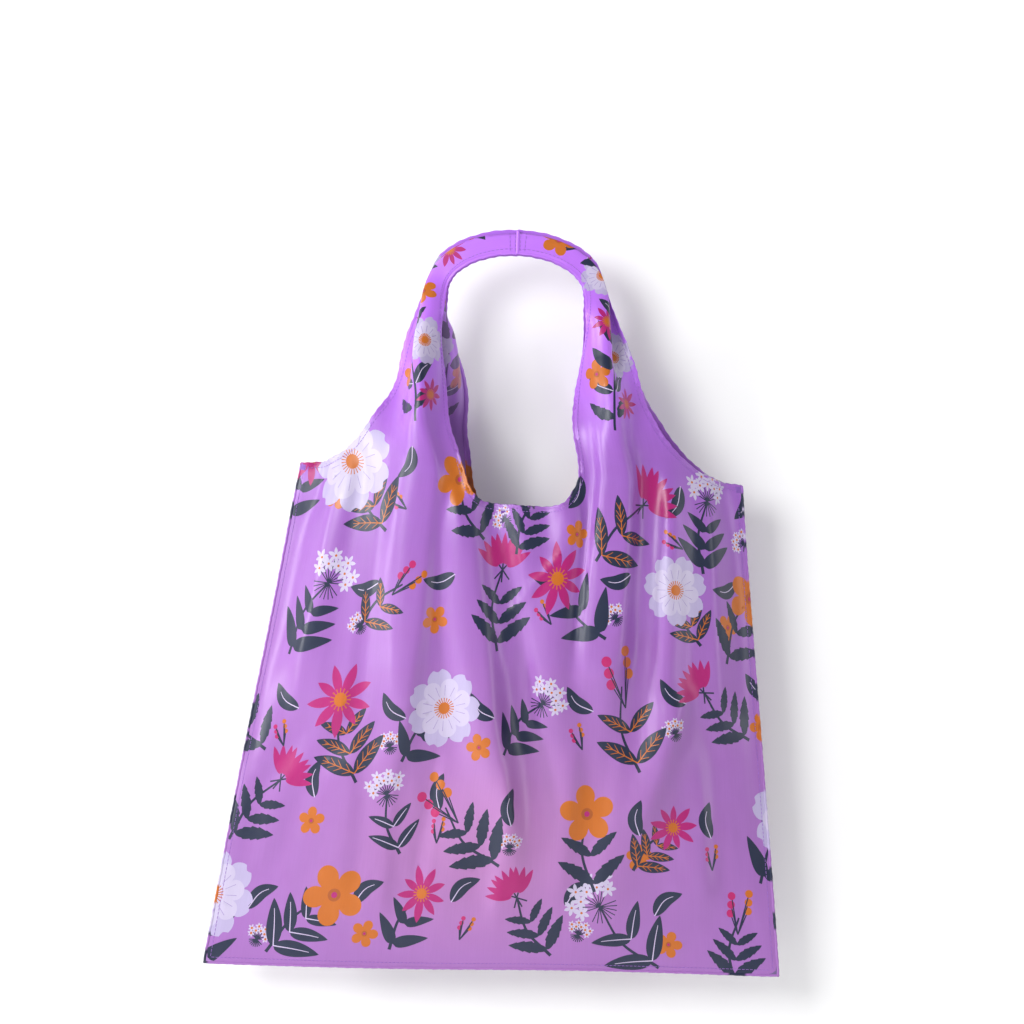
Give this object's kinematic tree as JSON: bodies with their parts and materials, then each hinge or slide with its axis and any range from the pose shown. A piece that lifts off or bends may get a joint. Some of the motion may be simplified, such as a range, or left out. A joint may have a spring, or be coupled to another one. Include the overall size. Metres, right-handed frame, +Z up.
{
  "type": "foldable tote bag",
  "caption": "Thin cloth shopping bag of vest cut, hanging from its grip, with two fold-down handles and a flat zipped stow pouch inside the mouth.",
  "frame": {"origin": "middle of the hand's grip, at the top of the two handles lying together", "axes": "+Z up; +X across the bag towards the viewer's right; the front panel faces -Y"},
  "size_m": [0.494, 0.092, 0.6363],
  "materials": {
    "printed_cloth": "thin silky weave, lilac with a flower print",
    "hem_cloth": "turned cloth, doubled",
    "seam_cloth": "stitched cloth layers",
    "thread": "sewing thread",
    "label": "blank white satin",
    "pouch_cloth": "same cloth as the bag",
    "binding": "woven tape",
    "zip_tape": "woven tape",
    "zip_teeth": "moulded nylon coil",
    "zip_metal": "satin lacquer"
  },
  "bodies": {
    "bag": {"front_panel": "printed_cloth", "back_panel": "printed_cloth", "left_side_seam": "seam_cloth", "right_side_seam": "seam_cloth", "bottom_seam": "seam_cloth", "front_mouth_hem": "hem_cloth", "back_mouth_hem": "hem_cloth", "front_left_arm_hem": "hem_cloth", "front_right_arm_hem": "hem_cloth", "back_left_arm_hem": "hem_cloth", "back_right_arm_hem": "hem_cloth", "shoulder_tacks": "thread", "care_label": "label"},
    "front_handle": {"front_left_strap": "printed_cloth", "front_right_strap": "printed_cloth", "front_handle_join": "seam_cloth"},
    "back_handle": {"back_left_strap": "printed_cloth", "back_right_strap": "printed_cloth", "back_handle_join": "seam_cloth"},
    "pouch": {"pouch_tape": "binding", "pouch_front": "pouch_cloth", "pouch_back": "pouch_cloth", "pouch_binding": "binding", "zip_tape_upper": "zip_tape", "zip_tape_lower": "zip_tape", "zip_row_upper": "zip_teeth", "zip_row_lower": "zip_teeth", "zip_stops": "zip_metal"},
    "slider": {"zip_slider": "zip_metal"},
    "pull": {"zip_pull": "zip_metal"}
  },
  "joints": [
    {"name": "front_handle_fold", "type": "hinge", "parent": "bag", "child": "front_handle", "pos_m": [0, -0.043, -0.165], "axis": [1, 0, 0], "range_deg": [0, 160]},
    {"name": "back_handle_fold", "type": "hinge", "parent": "bag", "child": "back_handle", "pos_m": [0, 0.043, -0.165], "axis": [1, 0, 0], "range_deg": [-160, 0]},
    {"name": "pouch_swing", "type": "hinge", "parent": "bag", "child": "pouch", "pos_m": [0, -0.0433, -0.231], "axis": [1, 0, 0], "range_deg": [0, 35]},
    {"name": "zip_slide", "type": "slide", "parent": "pouch", "child": "slider", "axis": [1, 0, 0], "range_m": [-0.087, 0]},
    {"name": "pull_flip", "type": "hinge", "parent": "slider", "child": "pull", "pos_m": [0.0435, -0.0301, -0.2552], "axis": [0, 0, 1], "range_deg": [-180, 0]}
  ]
}
